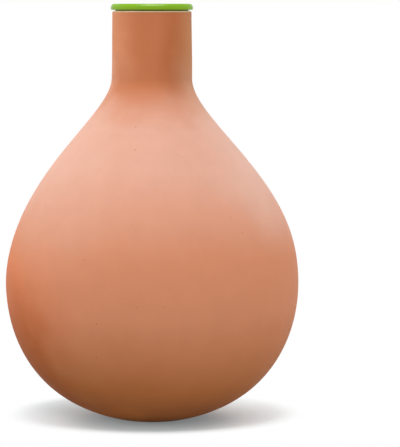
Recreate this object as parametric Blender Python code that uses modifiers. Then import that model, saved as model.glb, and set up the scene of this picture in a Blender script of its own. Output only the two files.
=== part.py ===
"""Irrigation olla: a pear-shaped vessel of unglazed clay, buried up to its neck, with a lid that
plugs the mouth. Run it with: blender --background --python part.py

The vessel is one thin shell. Its outside is a straight neck, an S-shaped shoulder and a round bowl
cut flat at the foot. The lid is a moulded cap with a hollow plug, and a soft seal ring sits round
the plug, between the cap and the rim.
Metres, +Z up, with the origin at the centre of the foot, on the ground."""

import math

import bmesh
import bpy
import numpy as np

# Driving sizes of the clay vessel
BODY_RADIUS = 0.1095
BELLY_HEIGHT = 0.102
FOOT_RADIUS = 0.025
NECK_ROOT_HEIGHT = 0.2547
NECK_LENGTH = 0.050
NECK_ROOT_RADIUS = 0.0301
NECK_TOP_RADIUS = 0.0295
BORE_RADIUS = 0.023
WALL = 0.008
RIM_OUTER_ROUND = 0.0016
RIM_INNER_ROUND = 0.0012

# How far each end of a curve keeps its direction before it bends away
SHOULDER_NECK_REACH = 0.0304
SHOULDER_BELLY_REACH = 0.0774
BOWL_BELLY_REACH = 0.0338
BOWL_FOOT_REACH = 0.0704
BOWL_FOOT_SLOPE = math.radians(11.3)

# Gaps: the seal to the clay, and the seal to the cap that carries it
SEAT_GAP = 0.0003
FIT_GAP = 0.0003

# Driving sizes of the lid cap
LID_OVERHANG = 0.0011
LID_EDGE_HEIGHT = 0.0046
LID_ROUND_WIDTH = 0.0024
LID_ROUND_HEIGHT = 0.0032
LID_LOWER_ROUND = 0.0008
LID_SKIRT_WALL = 0.0020
PLUG_WALL = 0.0020
PLUG_LIP_REACH = 0.0012
PLUG_LIP_HEIGHT = 0.0022
PLUG_LEAD_IN = 0.0008
WEB_COUNT = 3
WEB_THICKNESS = 0.0016
WEB_DEPTH = 0.0050

# Driving sizes of the seal ring
SEAL_PROUD = 0.0004
FLANGE_SET_BACK = 0.0023
FLANGE_THICKNESS = 0.0018
FLANGE_ROUND = 0.0004
SLEEVE_WALL = 0.0020
FIN_REACH = 0.0020
FIN_COUNT = 3
FIN_PITCH = 0.0040
FIN_ROOT_THICKNESS = 0.0014
FIN_TIP_THICKNESS = 0.0008
FIN_RISE = 0.0008
SLEEVE_TAIL = 0.0016

# Facets: steps round the axis, and points along each stretch of an outline
TURN_STEPS = 48
SHOULDER_POINTS = 14
BOWL_POINTS = 11
ROUND_POINTS = 4

# Places worked out from the sizes above
RIM_HEIGHT = NECK_ROOT_HEIGHT + NECK_LENGTH
LID_RADIUS = NECK_TOP_RADIUS + LID_OVERHANG
FLANGE_RADIUS = NECK_TOP_RADIUS - FLANGE_SET_BACK
FLANGE_BOTTOM = RIM_HEIGHT + SEAT_GAP
FLANGE_TOP = FLANGE_BOTTOM + FLANGE_THICKNESS
LID_BOTTOM = FLANGE_BOTTOM + SEAL_PROUD
LID_TOP = LID_BOTTOM + LID_EDGE_HEIGHT
LID_CEILING = FLANGE_TOP + FIT_GAP
FIN_TIP_RADIUS = BORE_RADIUS - SEAT_GAP
SLEEVE_RADIUS = FIN_TIP_RADIUS - FIN_REACH
SLEEVE_INNER_RADIUS = SLEEVE_RADIUS - SLEEVE_WALL
SLEEVE_BOTTOM = FLANGE_BOTTOM - FIN_COUNT * FIN_PITCH - SLEEVE_TAIL
PLUG_RADIUS = SLEEVE_INNER_RADIUS - FIT_GAP
PLUG_INNER_RADIUS = PLUG_RADIUS - PLUG_WALL
PLUG_LIP_RADIUS = SLEEVE_INNER_RADIUS + PLUG_LIP_REACH
PLUG_LIP_TOP = SLEEVE_BOTTOM - FIT_GAP
PLUG_BOTTOM = PLUG_LIP_TOP - PLUG_LIP_HEIGHT

# Colours, as linear red, green and blue
CLAY = (0.62, 0.25, 0.13)
LID_GREEN = (0.24, 0.47, 0.035)
SEAL_DARK = (0.045, 0.055, 0.02)


def clear_scene():
    for obj in list(bpy.data.objects):
        bpy.data.objects.remove(obj)


def collection(name):
    made = bpy.data.collections.new(name)
    bpy.context.scene.collection.children.link(made)
    return made


def material(name, colour, roughness, metallic=0.0):
    made = bpy.data.materials.new(name)
    made.use_nodes = True
    shader = made.node_tree.nodes["Principled BSDF"]
    shader.inputs["Base Color"].default_value = (*colour, 1.0)
    shader.inputs["Roughness"].default_value = roughness
    shader.inputs["Metallic"].default_value = metallic
    return made


def curve_between(start, start_handle, end_handle, end, count):
    """Points on the cubic curve from start to end, which leaves and arrives along its handles."""
    t = np.linspace(0, 1, count + 1)[:, None]
    corners = [np.array(p, float) for p in (start, start_handle, end_handle, end)]
    weights = ((1 - t) ** 3, 3 * (1 - t) ** 2 * t, 3 * (1 - t) * t**2, t**3)
    return sum(w * p for w, p in zip(weights, corners))


def arc(centre, radii, start_deg, end_deg, count=ROUND_POINTS):
    """Points on part of an ellipse round centre, with angles measured from +X towards +Z."""
    angle = np.radians(np.linspace(start_deg, end_deg, count + 1))
    return np.array(centre) + np.stack([radii[0] * np.cos(angle), radii[1] * np.sin(angle)], 1)


def moved_inwards(outline, distance):
    """The outline moved towards the inside of the shell, square to itself. It runs top to bottom."""
    along = np.gradient(outline, axis=0)
    along /= np.linalg.norm(along, axis=1)[:, None]
    inwards = np.stack([along[:, 1], -along[:, 0]], 1)
    return outline + distance * inwards


def turned(name, outline, steps, group, finish, origin_height=0.0, closed=False):
    """A solid of revolution round Z: outline is (radius, height) points, and a Screw turns it."""
    points = [(r, 0.0, z - origin_height) for r, z in outline]
    edges = [(i, i + 1) for i in range(len(points) - 1)]
    if closed:
        edges.append((len(points) - 1, 0))
    mesh = bpy.data.meshes.new(name)
    mesh.from_pydata(points, edges, [])
    mesh.materials.append(finish)
    obj = bpy.data.objects.new(name, mesh)
    obj.location.z = origin_height
    group.objects.link(obj)
    screw = obj.modifiers.new("Turn", "SCREW")
    screw.steps = steps
    screw.render_steps = steps
    screw.use_merge_vertices = True
    screw.merge_threshold = 0.00001
    screw.use_smooth_shade = True
    return obj


def vessel_outside():
    """The vessel's outline from the neck's root down to the edge of its foot."""
    shoulder = curve_between(
        (NECK_ROOT_RADIUS, NECK_ROOT_HEIGHT),
        (NECK_ROOT_RADIUS, NECK_ROOT_HEIGHT - SHOULDER_NECK_REACH),
        (BODY_RADIUS, BELLY_HEIGHT + SHOULDER_BELLY_REACH),
        (BODY_RADIUS, BELLY_HEIGHT),
        SHOULDER_POINTS,
    )
    bowl = curve_between(
        (BODY_RADIUS, BELLY_HEIGHT),
        (BODY_RADIUS, BELLY_HEIGHT - BOWL_BELLY_REACH),
        (
            FOOT_RADIUS + BOWL_FOOT_REACH * math.cos(BOWL_FOOT_SLOPE),
            BOWL_FOOT_REACH * math.sin(BOWL_FOOT_SLOPE),
        ),
        (FOOT_RADIUS, 0.0),
        BOWL_POINTS,
    )
    return np.vstack([shoulder, bowl[1:]])


def vessel_section():
    """From the inner floor up inside the shell, over the rim, and down outside to the foot."""
    outside = vessel_outside()
    inside = moved_inwards(outside, WALL)
    wider_than_bore = (inside[:, 0] > BORE_RADIUS) | (outside[:, 1] < BELLY_HEIGHT)
    chamber = inside[wider_than_bore]
    bore_root = (BORE_RADIUS, chamber[0, 1] + WALL / 2)
    rim_inner = arc(
        (BORE_RADIUS + RIM_INNER_ROUND, RIM_HEIGHT - RIM_INNER_ROUND),
        (RIM_INNER_ROUND, RIM_INNER_ROUND),
        180,
        90,
    )
    rim_outer = arc(
        (NECK_TOP_RADIUS - RIM_OUTER_ROUND, RIM_HEIGHT - RIM_OUTER_ROUND),
        (RIM_OUTER_ROUND, RIM_OUTER_ROUND),
        90,
        0,
    )
    floor_height = chamber[-1, 1]
    return np.vstack(
        [(0.0, floor_height), chamber[::-1], bore_root, rim_inner, rim_outer, outside, (0.0, 0.0)]
    )


def lid_section():
    """From the middle of the cap's top, over its edge, round the plug and back under its middle."""
    top_edge = arc(
        (LID_RADIUS - LID_ROUND_WIDTH, LID_TOP - LID_ROUND_HEIGHT),
        (LID_ROUND_WIDTH, LID_ROUND_HEIGHT),
        90,
        0,
        2 * ROUND_POINTS,
    )
    lower_edge = arc(
        (LID_RADIUS - LID_LOWER_ROUND, LID_BOTTOM + LID_LOWER_ROUND),
        (LID_LOWER_ROUND, LID_LOWER_ROUND),
        0,
        -90,
        2,
    )
    skirt_inner_radius = LID_RADIUS - LID_SKIRT_WALL
    return np.vstack(
        [
            (0.0, LID_TOP),
            top_edge,
            lower_edge,
            (skirt_inner_radius, LID_BOTTOM),
            (skirt_inner_radius, LID_CEILING),
            (PLUG_RADIUS, LID_CEILING),
            (PLUG_RADIUS, PLUG_LIP_TOP),
            (PLUG_LIP_RADIUS, PLUG_LIP_TOP),
            (PLUG_LIP_RADIUS, PLUG_BOTTOM + PLUG_LEAD_IN),
            (PLUG_LIP_RADIUS - PLUG_LEAD_IN, PLUG_BOTTOM),
            (PLUG_INNER_RADIUS, PLUG_BOTTOM),
            (PLUG_INNER_RADIUS, LID_CEILING),
            (0.0, LID_CEILING),
        ]
    )


def fin(root_height):
    """One fin of the seal, from the upper corner of its root round its tip to the lower corner."""
    tip_height = root_height + FIN_RISE
    return [
        (SLEEVE_RADIUS, root_height + FIN_ROOT_THICKNESS / 2),
        (FIN_TIP_RADIUS - FIN_TIP_THICKNESS / 3, tip_height + FIN_TIP_THICKNESS / 2),
        (FIN_TIP_RADIUS, tip_height + FIN_TIP_THICKNESS / 4),
        (FIN_TIP_RADIUS, tip_height - FIN_TIP_THICKNESS / 4),
        (FIN_TIP_RADIUS - FIN_TIP_THICKNESS / 3, tip_height - FIN_TIP_THICKNESS / 2),
        (SLEEVE_RADIUS, root_height - FIN_ROOT_THICKNESS / 2),
    ]


def seal_section():
    """A closed ring section: the flange under the cap, the sleeve round the plug and its fins."""
    outline = [
        (SLEEVE_INNER_RADIUS, FLANGE_TOP),
        (FLANGE_RADIUS - FLANGE_ROUND, FLANGE_TOP),
        (FLANGE_RADIUS, FLANGE_TOP - FLANGE_ROUND),
        (FLANGE_RADIUS, FLANGE_BOTTOM + FLANGE_ROUND),
        (FLANGE_RADIUS - FLANGE_ROUND, FLANGE_BOTTOM),
        (BORE_RADIUS, FLANGE_BOTTOM),
        (SLEEVE_RADIUS, FLANGE_BOTTOM - RIM_INNER_ROUND),
    ]
    for number in range(1, FIN_COUNT + 1):
        outline += fin(FLANGE_BOTTOM - number * FIN_PITCH)
    outline += [
        (SLEEVE_RADIUS, SLEEVE_BOTTOM + FLANGE_ROUND),
        (SLEEVE_RADIUS - FLANGE_ROUND, SLEEVE_BOTTOM),
        (SLEEVE_INNER_RADIUS, SLEEVE_BOTTOM),
    ]
    return np.array(outline)


def add_webs(lid, helpers):
    """Thin upright webs across the plug, under the cap, which a Boolean joins to it."""
    length = 2 * (PLUG_INNER_RADIUS + PLUG_WALL / 2)
    into_cap = (LID_TOP - LID_CEILING) / 2
    height = WEB_DEPTH + into_cap
    for number in range(WEB_COUNT):
        web_mesh = bpy.data.meshes.new(f"web_{number + 1}")
        shape = bmesh.new()
        bmesh.ops.create_cube(shape, size=1.0)
        bmesh.ops.scale(shape, vec=(length, WEB_THICKNESS, height), verts=shape.verts)
        shape.to_mesh(web_mesh)
        shape.free()
        web = bpy.data.objects.new(f"web_{number + 1}", web_mesh)
        web.location.z = LID_CEILING + into_cap - height / 2
        web.rotation_euler.z = math.pi * number / WEB_COUNT
        web.hide_render = True
        web.display_type = "WIRE"
        helpers.objects.link(web)
        union = lid.modifiers.new(f"Web {number + 1}", "BOOLEAN")
        union.operation = "UNION"
        union.object = web


def main():
    clear_scene()
    olla = collection("irrigation_olla")
    helpers = collection("helpers")

    clay = material("unglazed_clay", CLAY, 0.85)
    green = material("green_lid_moulding", LID_GREEN, 0.35)
    dark = material("seal_rubber", SEAL_DARK, 0.6)

    turned("clay_vessel", vessel_section(), TURN_STEPS, olla, clay)

    lid_lift = bpy.data.objects.new("lid_lift_axis", None)
    lid_lift.location.z = RIM_HEIGHT
    olla.objects.link(lid_lift)
    cap = turned("lid_cap", lid_section(), TURN_STEPS, olla, green, RIM_HEIGHT)
    seal = turned("seal_ring", seal_section(), TURN_STEPS, olla, dark, RIM_HEIGHT, closed=True)
    for piece in (cap, seal):
        piece.parent = lid_lift
        piece.location.z = 0.0
    add_webs(cap, helpers)


main()
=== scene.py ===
# %% [markdown]
# An irrigation olla is a watering vessel. It is a bulb of unglazed clay that is buried up to its
# neck and filled through it, and the water seeps out through its wall. Here it stands on a white
# studio floor with its green lid in place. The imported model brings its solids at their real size.
# This script makes the surfaces and finishes that the camera sees. Lengths are in metres, except
# in names that end in _MM.

# %% Load the solids and keep their box
import math

import bmesh
import bpy
import numpy as np
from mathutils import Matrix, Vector


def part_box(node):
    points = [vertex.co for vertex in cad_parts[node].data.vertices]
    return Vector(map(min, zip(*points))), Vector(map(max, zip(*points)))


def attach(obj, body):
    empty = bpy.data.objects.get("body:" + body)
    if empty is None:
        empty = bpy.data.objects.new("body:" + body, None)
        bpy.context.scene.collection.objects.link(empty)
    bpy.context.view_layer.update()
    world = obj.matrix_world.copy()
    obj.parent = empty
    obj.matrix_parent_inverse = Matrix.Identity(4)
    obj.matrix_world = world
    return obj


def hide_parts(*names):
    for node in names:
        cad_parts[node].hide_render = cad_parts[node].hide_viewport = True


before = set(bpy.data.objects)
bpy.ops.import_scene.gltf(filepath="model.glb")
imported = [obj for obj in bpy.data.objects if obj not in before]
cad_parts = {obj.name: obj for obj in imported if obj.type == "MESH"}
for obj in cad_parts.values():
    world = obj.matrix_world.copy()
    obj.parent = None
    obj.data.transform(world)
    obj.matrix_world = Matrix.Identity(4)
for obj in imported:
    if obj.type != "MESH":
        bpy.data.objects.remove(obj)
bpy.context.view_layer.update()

# %% [markdown]
# The camera comes first, because everything else is judged through it. In the picture the lid is
# seen exactly edge on, so the lens is level with the lid, and the ellipse of the shadow shows that
# it looks down on the floor by about 8.6 degrees. Those two facts give its distance, and the
# vessel's height in the picture then gives the focal length. It is a long lens, which product
# photographers use to keep a round body round.

# %% Place the camera
MM = 0.001
LENS_HEIGHT = 307.5 * MM
LENS_DISTANCE = 2.03
FOCAL_LENGTH_MM = 219.2
SENSOR_LONG_SIDE_MM = 36.0
AIM_HEIGHT = 146.0 * MM
AIM_SIDEWAYS = 35.75 * MM

lens = bpy.data.cameras.new("product_lens")
lens.lens = FOCAL_LENGTH_MM
lens.sensor_width = SENSOR_LONG_SIDE_MM
camera = bpy.data.objects.new("product_lens", lens)
bpy.context.scene.collection.objects.link(camera)
camera.location = (0.0, -LENS_DISTANCE, LENS_HEIGHT)
aim = Vector((AIM_SIDEWAYS, 0.0, AIM_HEIGHT))
camera.rotation_euler = (aim - camera.location).to_track_quat("-Z", "Y").to_euler()
bpy.context.scene.camera = camera
foot_angle = math.degrees(math.atan2(LENS_HEIGHT, LENS_DISTANCE))
print(f"the lens sees the foot {foot_angle:.1f} degrees below level")

# %% [markdown]
# Every piece of this object is turned round one upright axis, so one function makes nearly all of
# them. It takes an outline, a row of (radius, height) points, and carries it round the axis. A
# Screw modifier would do the same, but a surface worked out here can also be uneven, as a pot that
# was wiped by hand is.

# %% Carry an outline round the axis
TURN = 2 * math.pi
SAME_POINT = 0.001 * MM


def add_piece(name, points, faces):
    """A smooth closed mesh at the origin, whose place is in its vertices. Vertices that share a
    point become one, which turns the four-sided faces at a pole into triangles."""
    mesh = bpy.data.meshes.new(name)
    mesh.from_pydata(points.tolist(), [], faces.tolist())
    shape = bmesh.new()
    shape.from_mesh(mesh)
    bmesh.ops.remove_doubles(shape, verts=shape.verts, dist=SAME_POINT)
    shape.to_mesh(mesh)
    shape.free()
    mesh.shade_smooth()
    piece = bpy.data.objects.new(name, mesh)
    bpy.context.scene.collection.objects.link(piece)
    print(f"{name}: {len(mesh.polygons)} faces")
    return piece


def outward(outline):
    """Unit normals of an outline that runs down its outer side: its direction, turned a quarter."""
    along = np.gradient(outline, axis=0)
    along /= np.linalg.norm(along, axis=1)[:, None]
    return np.stack([-along[:, 1], along[:, 0]], 1)


def turned(name, outline, steps, dents=0.0, lean=0.0, closed=False):
    """A surface of revolution. Point i of the outline at step j is (x + r cos a, r sin a, z), where
    a = j / steps of a turn, (r, z) is the outline's point moved inwards by its dent, and x is how
    far the axis leans sideways there."""
    angle = TURN * np.arange(steps) / steps
    normal = outward(outline)
    radius = outline[:, :1] - dents * normal[:, :1]
    height = outline[:, 1:] - dents * normal[:, 1:]
    grid = np.broadcast_arrays(lean + radius * np.cos(angle), radius * np.sin(angle), height)
    points = np.stack(grid, 2).reshape(-1, 3)
    number = np.arange(len(points)).reshape(-1, steps)
    upper, lower = (number, np.roll(number, -1, 0)) if closed else (number[:-1], number[1:])
    corners = [upper, lower, np.roll(lower, -1, 1), np.roll(upper, -1, 1)]
    return add_piece(name, points, np.stack(corners, 2).reshape(-1, 4))


# %% [markdown]
# The vessel's outline is a straight neck, then a shoulder that swings out and a bowl that closes
# in to a small flat foot. Each of the last two is one cubic curve, which is what a designer draws:
# two end points, and two handles that say how far each end keeps its direction. The overall sizes
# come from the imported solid, so that the fine surface can't drift from it.

# %% Draw the vessel's outside
_, clay_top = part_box("clay_vessel")
BODY_RADIUS = clay_top.x
RIM_HEIGHT = clay_top.z
NECK_LENGTH = 50.0 * MM
NECK_TOP_RADIUS = 29.5 * MM
NECK_ROOT_RADIUS = 30.1 * MM
BELLY_HEIGHT = 102.0 * MM
FOOT_RADIUS = 25.0 * MM
SHOULDER_NECK_REACH = 30.4 * MM
SHOULDER_BELLY_REACH = 77.4 * MM
BOWL_BELLY_REACH = 33.8 * MM
BOWL_FOOT_REACH = 70.4 * MM
BOWL_FOOT_SLOPE = math.radians(11.3)
SHOULDER_POINTS = 90
BOWL_POINTS = 80
NECK_ROOT_HEIGHT = RIM_HEIGHT - NECK_LENGTH


def straight(start, end, count):
    """Evenly spaced points from start to end: start + t (end - start), for t from 0 to 1."""
    return np.linspace(start, end, count)


def curve(start, leaving, arriving, end, count):
    """A cubic curve: the sum of its four points, weighted by (1-t)^3, 3t(1-t)^2, 3t^2(1-t), t^3."""
    t = np.linspace(0, 1, count)[:, None]
    weights = ((1 - t) ** 3, 3 * t * (1 - t) ** 2, 3 * t**2 * (1 - t), t**3)
    return sum(w * np.array(p) for w, p in zip(weights, (start, leaving, arriving, end)))


def arc(centre, radii, start_deg, end_deg, count):
    """Part of an ellipse: centre + (rx cos a, rz sin a), with a from start to end."""
    angle = np.radians(np.linspace(start_deg, end_deg, count))
    return np.array(centre) + np.stack([radii[0] * np.cos(angle), radii[1] * np.sin(angle)], 1)


def joined(*stretches):
    """The stretches end to end, without the points that neighbours share."""
    points = np.vstack(stretches)
    step = np.linalg.norm(np.diff(points, axis=0), axis=1)
    return points[np.r_[True, step > SAME_POINT]]


shoulder = curve(
    (NECK_ROOT_RADIUS, NECK_ROOT_HEIGHT),
    (NECK_ROOT_RADIUS, NECK_ROOT_HEIGHT - SHOULDER_NECK_REACH),
    (BODY_RADIUS, BELLY_HEIGHT + SHOULDER_BELLY_REACH),
    (BODY_RADIUS, BELLY_HEIGHT),
    SHOULDER_POINTS,
)
bowl_arrival = (
    FOOT_RADIUS + BOWL_FOOT_REACH * math.cos(BOWL_FOOT_SLOPE),
    BOWL_FOOT_REACH * math.sin(BOWL_FOOT_SLOPE),
)
bowl = curve(
    (BODY_RADIUS, BELLY_HEIGHT),
    (BODY_RADIUS, BELLY_HEIGHT - BOWL_BELLY_REACH),
    bowl_arrival,
    (FOOT_RADIUS, 0.0),
    BOWL_POINTS,
)
body_outside = joined(shoulder, bowl)
print(f"the body's outline has {len(body_outside)} points")

# %% [markdown]
# The pot is cast in a mould, so its wall is about as thick everywhere: the inside is the outside
# moved in by the wall, square to the surface. In the neck that would leave less than the bore, so
# there the bore takes over. A smooth maximum blends the two without a crease. The rim is rounded
# on both sides, more on the outside, where fingers and the lid rub it.

# %% Add the inside and the rim
WALL = 8.0 * MM
BORE_RADIUS = 23.0 * MM
BLEND = 1.0 * MM
RIM_OUTER_ROUND = 1.6 * MM
RIM_INNER_ROUND = 1.2 * MM
RIM_POINTS = 10
NECK_INSIDE_POINTS = 20
NECK_OUTSIDE_POINTS = 30
FOOT_POINTS = 8


def smooth_maximum(a, b, blend):
    """The larger of a and b, rounded where they cross: (a + b + sqrt((a - b)^2 + blend^2)) / 2."""
    return (a + b + np.sqrt((a - b) ** 2 + blend**2)) / 2


body_inside = body_outside - WALL * outward(body_outside)
in_shoulder = body_outside[:, 1] > BELLY_HEIGHT
body_inside[in_shoulder, 0] = smooth_maximum(body_inside[in_shoulder, 0], BORE_RADIUS, BLEND)
rim_inside = arc(
    (BORE_RADIUS + RIM_INNER_ROUND, RIM_HEIGHT - RIM_INNER_ROUND),
    (RIM_INNER_ROUND, RIM_INNER_ROUND),
    180,
    90,
    RIM_POINTS,
)
rim_outside = arc(
    (NECK_TOP_RADIUS - RIM_OUTER_ROUND, RIM_HEIGHT - RIM_OUTER_ROUND),
    (RIM_OUTER_ROUND, RIM_OUTER_ROUND),
    90,
    0,
    RIM_POINTS,
)
vessel_outline = joined(
    straight((0.0, body_inside[-1, 1]), body_inside[-1], FOOT_POINTS),
    body_inside[::-1],
    straight(body_inside[0], rim_inside[0], NECK_INSIDE_POINTS),
    rim_inside,
    rim_outside,
    straight(rim_outside[-1], body_outside[0], NECK_OUTSIDE_POINTS),
    body_outside,
    straight(body_outside[-1], (0.0, 0.0), FOOT_POINTS),
)
print(f"the whole section has {len(vessel_outline)} points")

# %% [markdown]
# A cast pot is wiped with a wet sponge before it is fired, so its surface is never true: it rises
# and falls by a tenth of a millimetre or so over a few centimetres. That is too little to see in
# the outline, but a soft reflection shows it. A few long waves that run round and down the pot
# give the same slow change. The rim and the foot stay true, because they are rubbed flat. The soft
# body has also sagged while it dried. In the picture its left and right edges show that the upper
# shoulder has moved a little to the left and the lower one to the right. The neck, the belly and
# the foot have stayed where they were.

# %% Make the vessel
DENT_DEPTH = 0.16 * MM
SAG = 0.65 * MM
SAG_LOW, SAG_HIGH, SAG_FADE = 110 * MM, 260 * MM, 25 * MM
TRUE_FOOT, TRUE_RIM = 12 * MM, 8 * MM
VESSEL_STEPS = 224
# Each wave: how often it repeats round the pot, how often down it, and where it starts, in turns
WAVES = (
    (2, 1.3, 0.10),
    (3, -2.1, 0.45),
    (1, 3.4, 0.70),
    (5, 1.9, 0.25),
    (4, -4.2, 0.85),
    (0, 7.0, 0.30),
)


def wiped_surface(outline, steps):
    """Dents from 0 to 1 on the grid of the turned surface: half of 1 plus the mean of waves
    sin(n a + m h + p), each with its own count n round the axis and m down the height."""
    around = TURN * np.arange(steps) / steps
    down = TURN * outline[:, 1:] / RIM_HEIGHT
    waves = [np.sin(n * around + m * down + TURN * p) for n, m, p in WAVES]
    return (1 + sum(waves) / len(waves)) / 2


def fade(value, low, high):
    """0 up to low, 1 from high, and a smooth step 3t^2 - 2t^3 between them."""
    t = np.clip((value - low) / (high - low), 0, 1)
    return t * t * (3 - 2 * t)


def sagged(height):
    """How far the axis has moved sideways: one wave sin(2 pi (h - low) / (high - low)) of the sag's
    depth, which fades in over the low end and out over the high one."""
    wave = np.sin(TURN * (height - SAG_LOW) / (SAG_HIGH - SAG_LOW))
    fade_in = fade(height, SAG_LOW - SAG_FADE, SAG_LOW + SAG_FADE)
    fade_out = fade(height, SAG_HIGH - SAG_FADE, SAG_HIGH + SAG_FADE)
    return SAG * wave * fade_in * (1 - fade_out)


outline_height = vessel_outline[:, 1:]
above_foot = fade(outline_height, 0.0, TRUE_FOOT)
below_rim = fade(RIM_HEIGHT - outline_height, 0.0, TRUE_RIM)
hand_worked = above_foot * below_rim
dents = DENT_DEPTH * wiped_surface(vessel_outline, VESSEL_STEPS) * hand_worked
vessel = turned("clay_body", vessel_outline, VESSEL_STEPS, dents, sagged(outline_height))
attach(vessel, "vessel")
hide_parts("clay_vessel")

cad_points = np.array([v.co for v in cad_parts["clay_vessel"].data.vertices])
cad_outline = np.stack([np.hypot(cad_points[:, 0], cad_points[:, 1]), cad_points[:, 2]], 1)
apart = np.linalg.norm(vessel_outline[None] - cad_outline[:, None], axis=2).min(1)
print(f"the solid's corners lie within {apart.max() / MM:.2f} mm of it")

# %% [markdown]
# The lid is one moulding: a disc with a rounded edge, a shallow skirt below it, and a hollow plug
# that goes into the neck. Moulded corners are never sharp, so its section is drawn as plain
# corners, each with its own rounding, and one function rounds them all.

# %% Round the corners of a section
SUPPORT = 0.12 * MM


def rounded(corners, points=7, closed=False):
    """Each corner (radius, height, cut) becomes the curve (1-t)^2 start + 2t(1-t) corner + t^2 end,
    which starts and ends its cut away along the two sides. One more point just outside each end
    keeps the flat stretches flat to the eye."""
    corner = np.array(corners)[:, :2]
    cut = np.array(corners)[:, 2:]
    before, after = np.roll(corner, 1, 0) - corner, np.roll(corner, -1, 0) - corner
    if not closed:
        before[0] = after[-1] = 0.0
    sides = []
    for side in (before, after):
        length = np.maximum(np.linalg.norm(side, axis=1)[:, None], SAME_POINT)
        sides.append([corner + side * np.minimum(reach / length, 0.5) for reach in (cut + SUPPORT, cut)])
    (far_start, start), (far_end, end) = sides
    t = np.linspace(0, 1, points)[:, None, None]
    bend = (1 - t) ** 2 * start + 2 * t * (1 - t) * corner + t**2 * end
    return joined(np.concatenate([far_start[None], bend, far_end[None]]).transpose(1, 0, 2).reshape(-1, 2))


# %% [markdown]
# The cap's top edge is a quarter of an ellipse, a little higher than it is wide, and its lower
# edge has only a small rounding, so that the edge looks heavier at the bottom, as in the picture.
# The plug ends in a small lip, which keeps the seal from slipping off.

# %% Make the lid's cap and plug
LID_EDGE_HEIGHT = 4.6 * MM
LID_ROUND_WIDTH = 2.4 * MM
LID_ROUND_HEIGHT = 3.2 * MM
LID_SKIRT_WALL = 2.0 * MM
FIT_GAP = 0.3 * MM
PLUG_RADIUS = 18.4 * MM
PLUG_WALL = 2.0 * MM
PLUG_LIP_REACH = 1.5 * MM
PLUG_LEAD_IN = 0.8 * MM
LID_STEPS = 192
TOP_EDGE_POINTS = 18
TOP_FACE_POINTS = 12

cap_low, cap_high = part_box("lid_cap")
seal_low, seal_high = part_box("seal_ring")
LID_RADIUS = cap_high.x
LID_TOP = cap_high.z
LID_BOTTOM = LID_TOP - LID_EDGE_HEIGHT
LID_CEILING = seal_high.z + FIT_GAP
PLUG_LIP_TOP = seal_low.z - FIT_GAP
PLUG_BOTTOM = cap_low.z
SKIRT_RADIUS = LID_RADIUS - LID_SKIRT_WALL
PLUG_LIP_RADIUS = PLUG_RADIUS + PLUG_LIP_REACH
PLUG_INNER_RADIUS = PLUG_RADIUS - PLUG_WALL

top_edge = arc(
    (LID_RADIUS - LID_ROUND_WIDTH, LID_TOP - LID_ROUND_HEIGHT),
    (LID_ROUND_WIDTH, LID_ROUND_HEIGHT),
    90,
    0,
    TOP_EDGE_POINTS,
)
underside = rounded(
    [
        (*top_edge[-1], 0.0),
        (LID_RADIUS, LID_BOTTOM, 0.8 * MM),
        (SKIRT_RADIUS, LID_BOTTOM, 0.4 * MM),
        (SKIRT_RADIUS, LID_CEILING, 0.5 * MM),
        (PLUG_RADIUS, LID_CEILING, 0.2 * MM),
        (PLUG_RADIUS, PLUG_LIP_TOP, 0.15 * MM),
        (PLUG_LIP_RADIUS, PLUG_LIP_TOP, 0.3 * MM),
        (PLUG_LIP_RADIUS, PLUG_BOTTOM + PLUG_LEAD_IN, 0.3 * MM),
        (PLUG_LIP_RADIUS - PLUG_LEAD_IN, PLUG_BOTTOM, 0.3 * MM),
        (PLUG_INNER_RADIUS, PLUG_BOTTOM, 0.5 * MM),
        (PLUG_INNER_RADIUS, LID_CEILING, 0.8 * MM),
        (0.0, LID_CEILING, 0.0),
    ]
)
top_face = straight((0.0, LID_TOP), top_edge[0] - (SUPPORT, 0.0), TOP_FACE_POINTS)
lid = turned("lid_moulding", joined(top_face, top_edge, underside), LID_STEPS)
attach(lid, "lid")
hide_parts("lid_cap")
print(f"the plug reaches {(RIM_HEIGHT - PLUG_BOTTOM) / MM:.1f} mm into the neck")

# %% [markdown]
# Three thin webs cross inside the plug and stop it from being squeezed out of round. Together
# they are one star with six arms, which is a flat outline carried straight up. Between two arms
# the outline turns in a small arc, because a mould can't leave a sharp inner corner. The webs run
# a little way into the cap and the plug's wall, as they do where plastic has flowed together.

# %% Make the webs
WEB_ARMS = 6
WEB_HALF_THICKNESS = 0.8 * MM
WEB_FILLET = 0.8 * MM
WEB_DEPTH = 5.0 * MM
WEB_INTO_WALL = 0.4 * MM
WEB_EDGE_ROUND = 0.25 * MM
WEB_FILLET_POINTS = 7


def star_outline(arms, half_thickness, reach, fillet, points):
    """For each arm: its two outer corners, then the arc that joins it to the next arm. The arc's
    centre lies midway between them at (half thickness + fillet) / sin(half the angle between)."""
    between = math.pi / arms
    distance = (half_thickness + fillet) / math.sin(between)
    turn_by = np.linspace(-math.pi / 2, -math.pi / 2 - (math.pi - 2 * between), points)
    centre = distance * np.array([math.cos(between), math.sin(between)])
    bend = centre + fillet * np.stack([np.cos(turn_by), np.sin(turn_by)], 1)
    one_arm = np.vstack([(reach, -half_thickness), (reach, half_thickness), bend])
    angle = 2 * between * np.arange(arms)[:, None, None]
    x, y = one_arm[None, :, :1], one_arm[None, :, 1:]
    turned_arms = [x * np.cos(angle) - y * np.sin(angle), x * np.sin(angle) + y * np.cos(angle)]
    return np.concatenate(turned_arms, 2).reshape(-1, 2)


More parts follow.
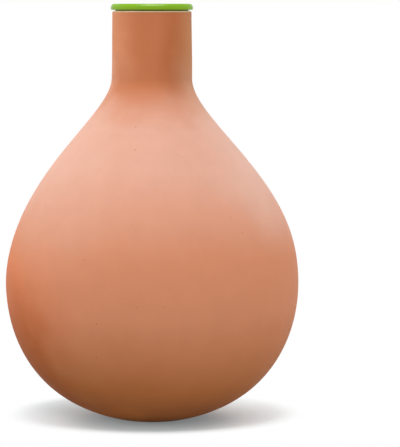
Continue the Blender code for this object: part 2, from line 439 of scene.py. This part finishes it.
def prism(name, outline, low, high):
    """The outline carried from low to high, with each end closed by faces that meet at its middle:
    row k of the grid is the outline times 0, 1, 1, 0, at heights low, low, high, high."""
    scale = np.array([0.0, 1.0, 1.0, 0.0])[:, None, None]
    height = np.broadcast_to(np.array([low, low, high, high])[:, None, None], (4, len(outline), 1))
    points = np.concatenate([scale * outline[None], height], 2).reshape(-1, 3)
    number = np.arange(len(points)).reshape(4, -1)
    lower, upper = number[:-1], number[1:]
    corners = [lower, np.roll(lower, -1, 1), np.roll(upper, -1, 1), upper]
    return add_piece(name, points, np.stack(corners, 2).reshape(-1, 4))


web_reach = PLUG_INNER_RADIUS + WEB_INTO_WALL
web_outline = star_outline(WEB_ARMS, WEB_HALF_THICKNESS, web_reach, WEB_FILLET, WEB_FILLET_POINTS)
webs = prism("lid_webs", web_outline, LID_CEILING - WEB_DEPTH, LID_CEILING + WEB_INTO_WALL)
web_edges = webs.modifiers.new("Rounded edges", "BEVEL")
web_edges.width = WEB_EDGE_ROUND
web_edges.segments = 2
web_edges.limit_method = "ANGLE"
web_edges.harden_normals = True
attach(webs, "lid")
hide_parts("lid_cap")

# %% [markdown]
# The seal is a soft ring on the plug. Its flange rests on the rim, and is the dark line between
# the lid and the clay. Its three fins, which point a little upwards, take up what a fired bore is
# out of round. The section is a closed ring of corners, so its outline runs all the way round.

# %% Make the seal
SLEEVE_WALL = 2.0 * MM
FLANGE_THICKNESS = 1.8 * MM
FIN_REACH = 2.0 * MM
FIN_COUNT = 3
FIN_PITCH = 4.0 * MM
FIN_ROOT = 1.4 * MM
FIN_TIP = 0.8 * MM
FIN_RISE = 0.8 * MM
SEAL_ROUND = 0.35 * MM
CONTACT = 0.02 * MM
FLANGE_BOTTOM = seal_high.z - FLANGE_THICKNESS
SLEEVE_INNER_RADIUS = PLUG_RADIUS + FIT_GAP
SLEEVE_RADIUS = SLEEVE_INNER_RADIUS + SLEEVE_WALL
FIN_TIP_RADIUS = SLEEVE_RADIUS + FIN_REACH

seal_corners = [
    (SLEEVE_INNER_RADIUS, seal_high.z, SEAL_ROUND / 2),
    (seal_high.x, seal_high.z, SEAL_ROUND),
    (seal_high.x, RIM_HEIGHT + CONTACT, SEAL_ROUND / 2),
    (BORE_RADIUS + RIM_INNER_ROUND, RIM_HEIGHT + CONTACT, SEAL_ROUND),
    (SLEEVE_RADIUS, FLANGE_BOTTOM - RIM_INNER_ROUND, SEAL_ROUND),
]
for fin in range(1, FIN_COUNT + 1):
    root = FLANGE_BOTTOM - fin * FIN_PITCH
    tip = root + FIN_RISE
    seal_corners += [
        (SLEEVE_RADIUS, root + FIN_ROOT / 2, SEAL_ROUND),
        (FIN_TIP_RADIUS, tip + FIN_TIP / 2, SEAL_ROUND),
        (FIN_TIP_RADIUS, tip - FIN_TIP / 2, SEAL_ROUND),
        (SLEEVE_RADIUS, root - FIN_ROOT / 2, SEAL_ROUND),
    ]
seal_corners += [
    (SLEEVE_RADIUS, seal_low.z, SEAL_ROUND),
    (SLEEVE_INNER_RADIUS, seal_low.z, SEAL_ROUND / 2),
]
seal = turned("seal_moulding", rounded(seal_corners, closed=True), LID_STEPS, closed=True)
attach(seal, "lid")
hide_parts("seal_ring")

# %% [markdown]
# Finishes are node trees, and node trees are hard to read as lists of links. Here a small class
# wraps an output socket, so that sums on surfaces are written as plain sums: each sign adds a Math
# node. A sum of plain numbers adds none, because Python works it out first.

# %% Write sums on surfaces


class Wire:
    """An output in a node tree. A sign between it and a wire or a number adds a Math node."""

    def __init__(self, nodes, socket):
        self.nodes = nodes
        self.socket = socket

    def combine(self, operation, first, second):
        """The two values put through one Math node."""
        return self.nodes.add("Math", {"operation": operation}, {0: first, 1: second})

    def __add__(self, other):
        return self.combine("ADD", self, other)

    def __sub__(self, other):
        return self.combine("SUBTRACT", self, other)

    def __rsub__(self, other):
        return self.combine("SUBTRACT", other, self)

    def __mul__(self, other):
        return self.combine("MULTIPLY", self, other)

    def __or__(self, other):
        """For masks: the larger of the two."""
        return self.combine("MAXIMUM", self, other)

    __radd__ = __add__
    __rmul__ = __mul__


# %% [markdown]
# The tree itself is a second class. Its first method adds a node of any kind, from its settings
# and its inputs. The others are the few steps that every finish here is made of: a place, noise, a
# smooth step between two values, a mix of two colours, and a bump.

# %% Build a node tree
NOISE_MIDDLE = 0.5


class Nodes:
    """The node tree of a material or a world, built up from nothing."""

    def __init__(self, owner, output):
        owner.use_nodes = True
        self.owner = owner
        self.output = output
        self.tree = owner.node_tree
        self.tree.nodes.clear()

    def add(self, kind, settings=None, inputs=None, output=0):
        """A new node: its settings or its ramp's stops first, then a wire or a value for each
        input. It gives a wire from one of its outputs."""
        node = self.tree.nodes.new("ShaderNode" + kind)
        for name, value in (settings or {}).items():
            if name == "stops":
                elements = node.color_ramp.elements
                while len(elements) < len(value):
                    elements.new(1.0)
                for element, (position, colour) in zip(elements, value):
                    element.position = position
                    element.color = colour
            else:
                setattr(node, name, value)
        for name, value in (inputs or {}).items():
            if isinstance(value, Wire):
                self.tree.links.new(value.socket, node.inputs[name])
            else:
                node.inputs[name].default_value = value
        return Wire(self, node.outputs[output]) if node.outputs else node

    def looked_along(self):
        """1 for the lens's own rays and for those that gloss or glass sends on, 0 for all others."""
        camera, gloss, glass = [
            self.add("LightPath", None, None, f"Is {kind} Ray")
            for kind in ("Camera", "Glossy", "Transmission")
        ]
        return camera | gloss | glass

    def show(self, shader):
        """Puts the shader on the surface or round the scene."""
        self.add(self.output, None, {"Surface": shader})
        print(f"{self.owner.name}: {len(self.tree.nodes)} nodes")

    def place(self):
        """Where a point is on its own object, in metres."""
        return self.add("TexCoord", None, None, "Object")

    def stretched(self, place, scale):
        """The place, scaled by its own number along each axis."""
        return self.add("Mapping", None, {"Vector": place, "Scale": scale})

    def away(self, place, point):
        """How far a place is from a point."""
        inputs = {0: place, 1: point}
        return self.add("VectorMath", {"operation": "DISTANCE"}, inputs, "Value")

    def noise(self, place, per_metre, detail=2.0, roughness=0.5):
        """Soft random values round the noise's middle, with about this many blobs in a metre."""
        inputs = {"Vector": place, "Scale": per_metre, "Detail": detail, "Roughness": roughness}
        return self.add("TexNoise", None, inputs, "Fac")

    def step(self, value, low, high):
        """0 at low, 1 at high, and a smooth step between them, whichever is the larger."""
        inputs = {"Value": value, "From Min": low, "From Max": high}
        return self.add("MapRange", {"interpolation_type": "SMOOTHSTEP"}, inputs)

    def mixed(self, share, first, second):
        """The first colour where share is 0, the second where it is 1. A Mix node has a set of
        sockets for each kind of data, so those for colours are named here by their numbers."""
        factor, colour_a, colour_b, colour_out = 0, 6, 7, 2
        inputs = {factor: share, colour_a: first, colour_b: second}
        return self.add("Mix", {"data_type": "RGBA"}, inputs, colour_out)

    def brighter(self, colour, times):
        """The colour times a number at each point."""
        return self.add("VectorMath", {"operation": "SCALE"}, {0: colour, "Scale": times}, "Vector")

    def bump(self, height, depth):
        """A normal that follows a height from 0 to 1, where 1 stands for this many metres."""
        return self.add("Bump", None, {"Height": height, "Distance": depth}, "Normal")


# %% [markdown]
# A finish starts as an empty material on its pieces. Its colours are shares of red, green and blue
# light, as they are in a shader's own colour fields.

# %% Start a finish


def empty_finish(name, *pieces):
    """A new material on these pieces, with nothing in its node tree yet."""
    material = bpy.data.materials.new(name)
    for piece in pieces:
        piece.data.materials.append(material)
    return Nodes(material, "OutputMaterial")


def rgb(red, green, blue):
    """A colour socket's value, whose fourth number is always 1 here: nothing is see-through."""
    return (red, green, blue, 1.0)


# %% [markdown]
# The clay is fired red earthenware, and its colour isn't even. The very foot is a lighter orange,
# which is painted light, the low bowl is a brown that is painted shade, and the belly is a warm
# orange. On the shoulder lies a pale pinkish tone, partly the salts that the drying clay leaves on
# its skin and partly a painted sheen of the light from above, and the neck is a deep orange. A ramp
# over the height says this, and noise bends its levels, so that no ring shows.

# %% Choose the clay's colours by height
# The foot's colour is painted light, the low bowl's is painted shade, and the bloom's pale tone is partly
# salt bloom and partly a painted sheen.
CLAY_FOOT_PAINTED_LIGHT = rgb(0.700, 0.245, 0.045)
CLAY_LOW_BOWL_PAINTED_SHADE = rgb(0.485, 0.172, 0.056)
CLAY_BOWL = rgb(0.660, 0.265, 0.143)
CLAY_BLOOM_AND_SHEEN = rgb(0.698, 0.362, 0.262)
CLAY_NECK = rgb(0.575, 0.193, 0.083)
FOOT_TO_RIM = (
    (0.00, CLAY_FOOT_PAINTED_LIGHT),
    (0.05, CLAY_LOW_BOWL_PAINTED_SHADE),
    (0.10, CLAY_LOW_BOWL_PAINTED_SHADE),
    (0.29, CLAY_BOWL),
    (0.41, CLAY_BOWL),
    (0.63, CLAY_BLOOM_AND_SHEEN),
    (0.72, CLAY_BLOOM_AND_SHEEN),
    (0.82, CLAY_NECK),
)
DRIFTS_PER_METRE = 16
LEVEL_DRIFT = 0.10

clay = empty_finish("unglazed_terracotta", vessel)
place = clay.place()
x, y, height = [clay.add("SeparateXYZ", None, {"Vector": place}, axis) for axis in "XYZ"]
drift = clay.noise(place, DRIFTS_PER_METRE, 3.0) - NOISE_MIDDLE
level = (1 / RIM_HEIGHT) * height + LEVEL_DRIFT * drift
colour = clay.add("ValToRGB", {"stops": FOOT_TO_RIM}, {"Fac": level}, "Color")
print(f"the clay has {len(FOOT_TO_RIM)} colours from foot to rim")

# %% [markdown]
# Soft patches of painted light and shade lie over the clay. Low on the left a brighter, redder orange
# is painted light from the left, and below that a brown is painted shade. On the neck a narrow brown
# streak of painted shade runs down right of the middle, the left side is a paler peach of painted
# light and sheen, and the right side is a paler, duller tone that is a painted sheen. A pale tone lies
# on both shoulders, and a little of it on the front left, between the shoulder and the belly: partly
# salt bloom and partly a painted sheen. Each patch is a soft ball round its middle, pressed flat or
# drawn out in height, and noise bends its edge by a share of its size.

# %% Lay patches on the clay
# Of these colours, the red and the peach are painted light, the dark brown is painted shade, the dull neck
# tone is a painted sheen, and the palest is salt bloom with a painted sheen.
CLAY_PAINTED_LIGHT_RED = rgb(0.72, 0.197, 0.072)
CLAY_PAINTED_SHADE_BROWN = rgb(0.275, 0.060, 0.006)
CLAY_SALT_AND_SHEEN = rgb(0.74, 0.48, 0.39)
CLAY_PAINTED_LIGHT_PEACH = rgb(0.785, 0.345, 0.190)
CLAY_PAINTED_SHEEN = rgb(0.51, 0.252, 0.115)
PATCH_DRIFT = 0.87
# Each patch: its colour, how strong it is, its middle, how flat it is, how far it is full, its end
PATCHES = (
    (CLAY_PAINTED_LIGHT_RED, 0.67, (-0.108, -0.018, 0.084), 1.3, 0.020, 0.108),
    (CLAY_PAINTED_SHADE_BROWN, 0.68, (-0.109, -0.014, 0.036), 1.15, 0.014, 0.112),
    (CLAY_PAINTED_SHADE_BROWN, 0.25, (0.0170, -0.025, 0.276), 0.25, 0.004, 0.017),
    (CLAY_PAINTED_LIGHT_PEACH, 0.76, (-0.048, -0.004, 0.306), 0.6, 0.018, 0.055),
    (CLAY_PAINTED_SHEEN, 0.62, (0.0315, -0.006, 0.280), 0.25, 0.003, 0.030),
    (CLAY_SALT_AND_SHEEN, 0.43, (-0.080, -0.010, 0.220), 0.9, 0.025, 0.083),
    (CLAY_SALT_AND_SHEEN, 0.65, (0.100, -0.016, 0.208), 1.2, 0.030, 0.111),
    (CLAY_SALT_AND_SHEEN, 0.16, (-0.080, -0.070, 0.165), 1.0, 0.020, 0.072),
)

for patch_colour, strength, middle, flatness, full, end in PATCHES:
    flattened = clay.stretched(place, (1, 1, flatness))
    away = clay.away(flattened, (middle[0], middle[1], flatness * middle[2]))
    patch = clay.step(away + PATCH_DRIFT * end * drift, end, full)
    colour = clay.mixed(strength * patch, colour, patch_colour)
print(f"{len(PATCHES)} patches lie on the clay")

# %% [markdown]
# Close up, the clay has a fine grain with small open pores, soft clouds, and faint bands from the
# sponge. Each of them changes the clay's tone a little, and the pores are its darkest spots. The rim
# has two tones of its own: its flat top is cut clay, a plain orange, and its outer edge is pale and
# chalky where the lid and hands rub it, lightened further by a painted highlight on its rounding.

# %% Give the clay its grain and its rim
CLAY_CUT = rgb(0.62, 0.27, 0.16)
# The rubbed edge's colour is partly pale worn clay and partly a painted highlight.
CLAY_RUBBED_HIGHLIGHT = rgb(0.96, 0.78, 0.52)
CLOUDS_PER_METRE = 70
BANDS_PER_METRE = (5, 5, 190)
GRAIN_PER_METRE = 1300
PORES_PER_METRE = 2.1 * GRAIN_PER_METRE
PORE_FROM, PORE_FULL = 0.62, 0.74
PLAIN_TONE = 0.91
CLOUD_TONE, GRAIN_TONE, BAND_TONE, PORE_TONE = 0.08, 0.06, 0.03, 0.10
CUT_FROM, CUT_FULL = RIM_HEIGHT - 1.0 * MM, RIM_HEIGHT - 0.7 * MM
RUBBED_HIGHLIGHT_FROM, RUBBED_HIGHLIGHT_FULL = 27.0 * MM, 28.4 * MM

cloud = clay.noise(place, CLOUDS_PER_METRE, 3.0)
grain = clay.noise(place, GRAIN_PER_METRE, 3.0, 0.65)
bands = clay.noise(clay.stretched(place, BANDS_PER_METRE), 1.0, 2.0)
pores = clay.step(clay.noise(place, PORES_PER_METRE, 1.0), PORE_FROM, PORE_FULL)
tone = PLAIN_TONE + CLOUD_TONE * cloud + GRAIN_TONE * grain + BAND_TONE * bands - PORE_TONE * pores
colour = clay.brighter(colour, tone)
# The rim's outer rounding gets the pale colour with its painted highlight.
at_rim = clay.step(height, CUT_FROM, CUT_FULL)
rubbed_highlight = at_rim * clay.step(x * x + y * y, RUBBED_HIGHLIGHT_FROM**2, RUBBED_HIGHLIGHT_FULL**2)
colour = clay.mixed(rubbed_highlight, clay.mixed(at_rim, colour, CLAY_CUT), CLAY_RUBBED_HIGHLIGHT)
print(f"the grain has {GRAIN_PER_METRE * MM:.1f} blobs and the pores {PORES_PER_METRE * MM:.1f} in 1 mm")

# %% [markdown]
# The last marks are a few dark specks of iron. A Voronoi texture puts one point in each cell and
# gives each cell a random colour, so the distance to the point makes a speck, and the colour's red
# is the lot that leaves about three cells in ten with one. The same grain, pores and bands also give
# the surface its height. The skin is matt: a porous surface throws back very little light as gloss,
# so its specular level is low. Every pattern reads the object's own coordinates, so that it stays
# put on the pot.

# %% Add the specks and close the clay's finish
CLAY_SPECK = rgb(0.13, 0.05, 0.03)
SPECK_STRENGTH = 0.6
SPECKS_PER_METRE = 105
# A speck's reach and its full middle, as shares of its cell
SPECK_REACH, SPECK_FULL = 0.06, 0.024
LOT_FROM, LOT_FULL = 0.70, 0.72
CLAY_ROUGHNESS, CLOUD_ROUGHNESS, PORE_ROUGHNESS = 0.52, 0.08, 0.10
CLAY_SPECULAR = 0.02
GRAIN_DEPTH = 0.10 * MM
PORE_PIT, BAND_RISE = 0.6, 0.15

cells = {"Vector": place, "Scale": SPECKS_PER_METRE}
speck_distance = clay.add("TexVoronoi", None, cells, "Distance")
speck_colour = clay.add("TexVoronoi", None, cells, "Color")
lot = clay.add("SeparateColor", None, {"Color": speck_colour}, "Red")
chosen = clay.step(lot, LOT_FROM, LOT_FULL)
specks = clay.step(speck_distance, SPECK_REACH, SPECK_FULL) * chosen
surface = {
    "Base Color": clay.mixed(SPECK_STRENGTH * specks, colour, CLAY_SPECK),
    "Roughness": CLAY_ROUGHNESS + CLOUD_ROUGHNESS * (cloud - NOISE_MIDDLE) + PORE_ROUGHNESS * pores,
    "Specular IOR Level": CLAY_SPECULAR,
    "Normal": clay.bump(grain - PORE_PIT * pores + BAND_RISE * bands, GRAIN_DEPTH),
}
clay.show(clay.add("BsdfPrincipled", None, surface))

# %% [markdown]
# The lid is a satin green plastic, such as polypropylene. Moulded plastic has a very fine
# orange-peel skin, slow changes of tone where it flowed and cooled, and, after some handling,
# faint scuffs, which show in its gloss and not in its colour.

# %% Finish the lid
LID_GREEN = rgb(0.225, 0.425, 0.015)
LID_GREEN_COOL = rgb(0.200, 0.405, 0.019)
LID_ROUGHNESS, FLOW_ROUGHNESS, SCUFF_ROUGHNESS = 0.22, 0.10, 0.12
LID_SPECULAR = 0.06
FLOWS_PER_METRE = 90
PEEL_PER_METRE = 900
PEEL_DEPTH = 0.004 * MM
SCUFFS_PER_METRE = (900, 90, 300)
SCUFF_FROM, SCUFF_FULL = 0.58, 0.72
SCUFF_PIT = 0.4

green = empty_finish("green_satin_plastic", lid, webs)
place = green.place()
peel = green.noise(place, PEEL_PER_METRE, 2.0)
flow = green.noise(place, FLOWS_PER_METRE, 3.0)
scratches = green.noise(green.stretched(place, SCUFFS_PER_METRE), 1.0, 3.0)
scuffs = green.step(scratches, SCUFF_FROM, SCUFF_FULL)
surface = {
    "Base Color": green.mixed(flow, LID_GREEN, LID_GREEN_COOL),
    "Roughness": LID_ROUGHNESS + FLOW_ROUGHNESS * (flow - NOISE_MIDDLE) + SCUFF_ROUGHNESS * scuffs,
    "Specular IOR Level": LID_SPECULAR,
    "Normal": green.bump(peel - SCUFF_PIT * scuffs, PEEL_DEPTH),
}
green.show(green.add("BsdfPrincipled", None, surface))

# %% [markdown]
# The seal is soft rubber, dark with a hint of olive. A little pale bloom lies on it, the wax that
# such rubber sweats out, and its skin is matt.

# %% Finish the seal
SEAL_DARK = rgb(0.290, 0.275, 0.060)
SEAL_BLOOM = rgb(0.360, 0.340, 0.095)
BLOOMS_PER_METRE = 160
BLOOM_FROM, BLOOM_FULL = 0.45, 0.70
SEAL_ROUGHNESS, BLOOM_ROUGHNESS = 0.58, 0.12
SEAL_GRAIN_PER_METRE = 1600
SEAL_GRAIN_DEPTH = 0.02 * MM

rubber = empty_finish("seal_soft_rubber", seal)
place = rubber.place()
bloom = rubber.step(rubber.noise(place, BLOOMS_PER_METRE, 3.0), BLOOM_FROM, BLOOM_FULL)
surface = {
    "Base Color": rubber.mixed(bloom, SEAL_DARK, SEAL_BLOOM),
    "Roughness": SEAL_ROUGHNESS + BLOOM_ROUGHNESS * bloom,
    "Normal": rubber.bump(rubber.noise(place, SEAL_GRAIN_PER_METRE, 2.0), SEAL_GRAIN_DEPTH),
}
rubber.show(rubber.add("BsdfPrincipled", None, surface))

# %% [markdown]
# The picture was taken on white, with a soft shadow under the bulb that ends not far outside it.
# So the floor is paper that shows the shadow near the pot, and it turns to plain white just outside
# it. The paper also carries a painted shadow: it is darkest close in front of the foot and a little
# darker at the back left, as the shadow in the picture is, and a faint glow, which is painted light,
# keeps the deepest shade from going black. It is also a little blue, which cancels the orange light
# that the clay throws on it. It lies a hair below the foot, because two faces in one plane would
# show through each other.

# %% Lay the paper that the lens sees
FLOOR_SIZE = 24.0
FLOOR_DROP = 0.05 * MM
# The near colour and the back tone are a painted shadow, and the glow is painted light.
PAPER_SHADOW_NEAR = rgb(0.450, 0.54, 0.568)
PAPER_FAR = rgb(0.895, 0.945, 0.955)
NEAR_MIDDLE = (0.0, -0.022, 0.0)
NEAR_FULL, NEAR_END = 0.034, 0.074
BACK_MIDDLE = (-0.030, 0.060, 0.0)
BACK_FULL, BACK_END = 0.030, 0.085
BACK_SHADOW_TONE = 0.69
GLOW_NEAR = rgb(0.150, 0.163, 0.168)
GLOW_FAR = rgb(0.090, 0.110, 0.118)
WHITE = rgb(1.0, 1.0, 1.0)
MATT = {"Roughness": 1.0, "Specular IOR Level": 0.0}
SHADOW_MIDDLE = (0.0, 0.026, 0.0)
SHADOW_END, WHITE_FROM = 0.090, 0.117

corners = FLOOR_SIZE / 2 * np.array([(-1, -1), (1, -1), (1, 1), (-1, 1)])
floor = add_piece("studio_floor", np.c_[corners, np.full(4, -FLOOR_DROP)], np.array([[0, 1, 2, 3]]))

paper = empty_finish("white_floor", floor)
place = paper.place()
# The paper's colour carries a painted shadow round the foot and at the back left.
paler = paper.step(paper.away(place, NEAR_MIDDLE), NEAR_FULL, NEAR_END)
clear_of_back_shadow = paper.step(paper.away(place, BACK_MIDDLE), BACK_FULL, BACK_END)
tone = BACK_SHADOW_TONE + (1 - BACK_SHADOW_TONE) * clear_of_back_shadow
surface = {
    "Base Color": paper.brighter(paper.mixed(paler, PAPER_SHADOW_NEAR, PAPER_FAR), tone),
    "Emission Color": paper.mixed(paler, GLOW_NEAR, GLOW_FAR),
    "Emission Strength": 1.0,
    **MATT,
}
shaded = paper.add("BsdfPrincipled", None, surface)
plain_white = paper.add("Emission", None, {"Color": WHITE, "Strength": 1.0})
outside = paper.step(paper.away(place, SHADOW_MIDDLE), SHADOW_END, WHITE_FROM)
seen = paper.add("MixShader", None, {0: outside, 1: shaded, 2: plain_white})
print(f"the floor is plain white from {WHITE_FROM / MM:.0f} mm round the shadow's middle")

# %% [markdown]
# That is what the lens sees, and what gloss and glass send on to it. For light that bounces the
# floor is a plain grey instead, so that it doesn't light the pot from below more than the studio
# did. The grey is darker on the left, which shades the low left of the bowl.

# %% Give the floor a grey for bounced light
BOUNCE_LEFT = rgb(0.15, 0.15, 0.15)
BOUNCE_RIGHT = rgb(0.50, 0.50, 0.50)
BOUNCE_DARK_FROM, BOUNCE_PALE_FROM = -0.20, 0.0

sideways = paper.add("SeparateXYZ", None, {"Vector": place}, "X")
rightwards = paper.step(sideways, BOUNCE_DARK_FROM, BOUNCE_PALE_FROM)
surface = {"Base Color": paper.mixed(rightwards, BOUNCE_LEFT, BOUNCE_RIGHT), **MATT}
bounce = paper.add("BsdfPrincipled", None, surface)
paper.show(paper.add("MixShader", None, {0: paper.looked_along(), 1: bounce, 2: seen}))

# %% [markdown]
# The light is that of a white tent: it comes from all round and is even, which is why the clay
# shows so little shade. Softboxes add what the tent alone doesn't give. A small one overhead lights
# the shoulder, and three at the left make that side the lighter one. The last one shows only in
# gloss, and puts the highlight on the lid's edge. A softbox's strength is given as how bright its
# face is, where 1 is white paper, and its power follows from its size.

# %% Light the studio
POT_MIDDLE = Vector((0.0, 0.0, 0.15))


def softbox(name, place, size, brightness):
    """An area light at place that faces the pot's middle. Its power is brightness times pi times its
    area."""
    lamp = bpy.data.lights.new(name, "AREA")
    lamp.shape = "RECTANGLE"
    lamp.size, lamp.size_y = size
    lamp.energy = brightness * math.pi * size[0] * size[1]
    holder = bpy.data.objects.new(name, lamp)
    holder.location = place
    holder.rotation_euler = (POT_MIDDLE - holder.location).to_track_quat("-Z", "Y").to_euler()
    holder.visible_camera = False
    bpy.context.scene.collection.objects.link(holder)
    print(f"{name}: {lamp.energy:.2f} W")
    return holder


softbox("over_softbox", (0.0, -0.20, 1.2), (0.40, 0.22), 5.3)
softbox("high_left_softbox", (-0.9, -0.7, 1.2), (0.8, 0.8), 0.17)
softbox("left_softbox", (-1.4, -0.3, 0.5), (2.0, 0.8), 1.20)
softbox("back_left_softbox", (-1.2, 0.6, 0.7), (0.6, 1.1), 0.44)
highlight = softbox("highlight_softbox", (0.0, -0.35, 1.2), (0.85, 0.70), 33.0)
highlight.visible_diffuse = False

# %% [markdown]
# The tent is the world. Where the lens sees it, and in reflections, it is plain white. The view
# transform is Standard, which shows a colour about as it is written.

# %% Put up the tent
TENT_LIGHT = 1.14

world = bpy.data.worlds.new("white_tent")
bpy.context.scene.world = world
tent = Nodes(world, "OutputWorld")
light = tent.add("Background", None, {"Color": WHITE, "Strength": TENT_LIGHT})
white = tent.add("Background", None, {"Color": WHITE, "Strength": 1.0})
tent.show(tent.add("MixShader", None, {0: tent.looked_along(), 1: light, 2: white}))
bpy.context.scene.view_settings.view_transform = "Standard"
